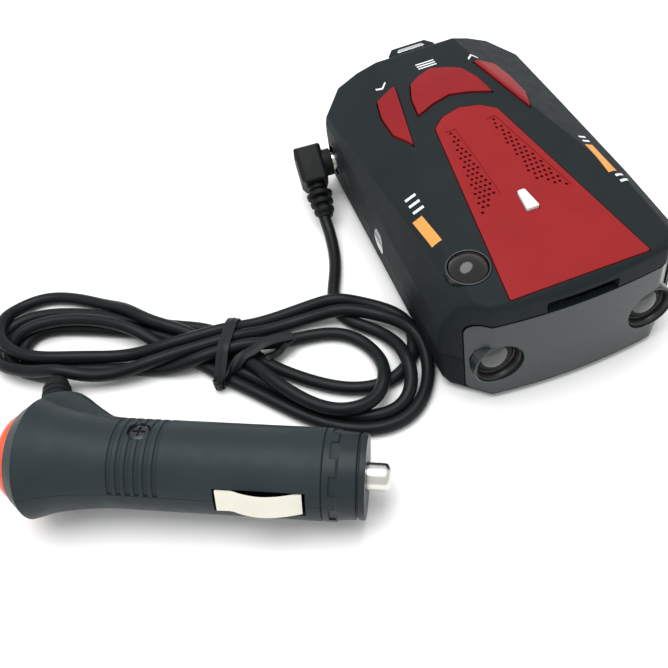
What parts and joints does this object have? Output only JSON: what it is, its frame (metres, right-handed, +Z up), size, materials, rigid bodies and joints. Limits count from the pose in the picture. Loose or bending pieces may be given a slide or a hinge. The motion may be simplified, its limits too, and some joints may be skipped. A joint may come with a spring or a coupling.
{
  "type": "radar detector",
  "caption": "Windscreen radar and laser detector with top buttons, smoked laser window and a hanked lead to a switched 12 V lighter plug.",
  "frame": {"origin": "on the table under the middle of the detector, which stands on its anti-slip pad", "axes": "+Z up, -Y towards the windscreen end with the smoked window, +Y towards the rear display, and +X to the right when the part is seen from its window end"},
  "size_m": [0.1762, 0.1264, 0.0356],
  "materials": {
    "upper_case": "fine satin texture",
    "lower_case": "fine satin texture",
    "front_window": "smoked, glossy",
    "lens_bezel_left": "satin",
    "lens_bezel_right": "satin",
    "front_lens_left": "dark, polished",
    "front_lens_right": "dark, polished",
    "laser_sensor_board": "solder mask",
    "laser_photodiodes": "smooth",
    "top_panel": "satin red",
    "status_light": "silvery",
    "menu_button": "satin red",
    "up_button": "satin red",
    "down_button": "satin red",
    "dome_ring": "smooth",
    "dome_lens": "dark, polished",
    "dome_sensor": "smooth",
    "rear_badge": "brushed, blank",
    "side_sticker": "foil",
    "display_window": "tinted, glossy",
    "led_display": "smooth",
    "main_circuit_board": "solder mask",
    "horn_antenna": "cast",
    "microwave_board": "ceramic-filled board",
    "speaker_frame": "stamped",
    "speaker_cone": "doped paper",
    "speaker_magnet": "sintered",
    "button_switches": "moulded",
    "dc_jack": "moulded",
    "case_screws": "zinc plated",
    "rating_label": "blank film",
    "anti_slip_pad": "ribbed",
    "dc_plug_body": "moulded, satin",
    "dc_plug_barrel": "nickel plated",
    "dc_strain_relief": "ribbed",
    "lead_cord": "PVC sheath",
    "hank_cord": "PVC sheath",
    "tail_cord": "PVC sheath",
    "hank_tie": "plastic-coated wire",
    "plug_strain_relief": "ribbed",
    "plug_shell_upper": "satin",
    "plug_shell_lower": "satin",
    "plug_end_ring": "satin",
    "switch_button": "translucent orange-red",
    "plug_circuit_board": "solder mask",
    "plug_components": "moulded",
    "plug_screw": "zinc plated",
    "ground_contact_near": "nickel-plated spring",
    "ground_contact_far": "nickel-plated spring",
    "nose_cap": "satin",
    "fuse_tube": "moulded",
    "fuse": "clear",
    "contact_pin": "nickel plated",
    "contact_spring": "spring wire"
  },
  "bodies": {
    "detector": {"upper_case": "upper_case", "lower_case": "lower_case", "front_window": "front_window", "lens_bezel_left": "lens_bezel_left", "lens_bezel_right": "lens_bezel_right", "front_lens_left": "front_lens_left", "front_lens_right": "front_lens_right", "laser_sensor_board": "laser_sensor_board", "laser_photodiodes": "laser_photodiodes", "top_panel": "top_panel", "status_light": "status_light", "dome_ring": "dome_ring", "dome_lens": "dome_lens", "dome_sensor": "dome_sensor", "rear_badge": "rear_badge", "side_sticker": "side_sticker", "display_window": "display_window", "led_display": "led_display", "main_circuit_board": "main_circuit_board", "horn_antenna": "horn_antenna", "microwave_board": "microwave_board", "speaker_frame": "speaker_frame", "speaker_cone": "speaker_cone", "speaker_magnet": "speaker_magnet", "button_switches": "button_switches", "dc_jack": "dc_jack", "case_screws": "case_screws", "rating_label": "rating_label", "anti_slip_pad": "anti_slip_pad", "dc_plug_body": "dc_plug_body", "dc_plug_barrel": "dc_plug_barrel", "dc_strain_relief": "dc_strain_relief", "lead_cord": "lead_cord", "hank_cord": "hank_cord", "tail_cord": "tail_cord", "hank_tie": "hank_tie", "plug_strain_relief": "plug_strain_relief", "plug_shell_upper": "plug_shell_upper", "plug_shell_lower": "plug_shell_lower", "plug_end_ring": "plug_end_ring", "plug_circuit_board": "plug_circuit_board", "plug_components": "plug_components", "plug_screw": "plug_screw", "nose_cap": "nose_cap", "fuse_tube": "fuse_tube", "contact_spring": "contact_spring"},
    "menu_key": {"menu_button": "menu_button"},
    "up_key": {"up_button": "up_button"},
    "down_key": {"down_button": "down_button"},
    "switch_key": {"switch_button": "switch_button"},
    "tip": {"contact_pin": "contact_pin", "fuse": "fuse"},
    "near_contact": {"ground_contact_near": "ground_contact_near"},
    "far_contact": {"ground_contact_far": "ground_contact_far"}
  },
  "joints": [
    {"name": "menu_press", "type": "slide", "parent": "detector", "child": "menu_key", "axis": [0, 0, -1], "range_m": [0, 0.0006], "stiffness_N_per_m": 1500, "springref_m": -0.0006},
    {"name": "up_press", "type": "slide", "parent": "detector", "child": "up_key", "axis": [0, 0, -1], "range_m": [0, 0.0006], "stiffness_N_per_m": 1500, "springref_m": -0.0006},
    {"name": "down_press", "type": "slide", "parent": "detector", "child": "down_key", "axis": [0, 0, -1], "range_m": [0, 0.0006], "stiffness_N_per_m": 1500, "springref_m": -0.0006},
    {"name": "switch_press", "type": "slide", "parent": "detector", "child": "switch_key", "axis": [0.9057, -0.4215, -0.0459], "range_m": [0, 0.002], "stiffness_N_per_m": 800, "springref_m": -0.001},
    {"name": "tip_press", "type": "slide", "parent": "detector", "child": "tip", "axis": [-0.9057, 0.4215, 0.0459], "range_m": [0, 0.003], "stiffness_N_per_m": 1500, "springref_m": -0.001, "deforming": ["contact_spring"]},
    {"name": "near_contact_press", "type": "slide", "parent": "detector", "child": "near_contact", "axis": [0.3822, 0.8585, -0.342], "range_m": [0, 0.001], "stiffness_N_per_m": 2000, "springref_m": -0.0005},
    {"name": "far_contact_press", "type": "slide", "parent": "detector", "child": "far_contact", "axis": [-0.3822, -0.8585, 0.342], "range_m": [0, 0.001], "stiffness_N_per_m": 2000, "springref_m": -0.0005}
  ]
}
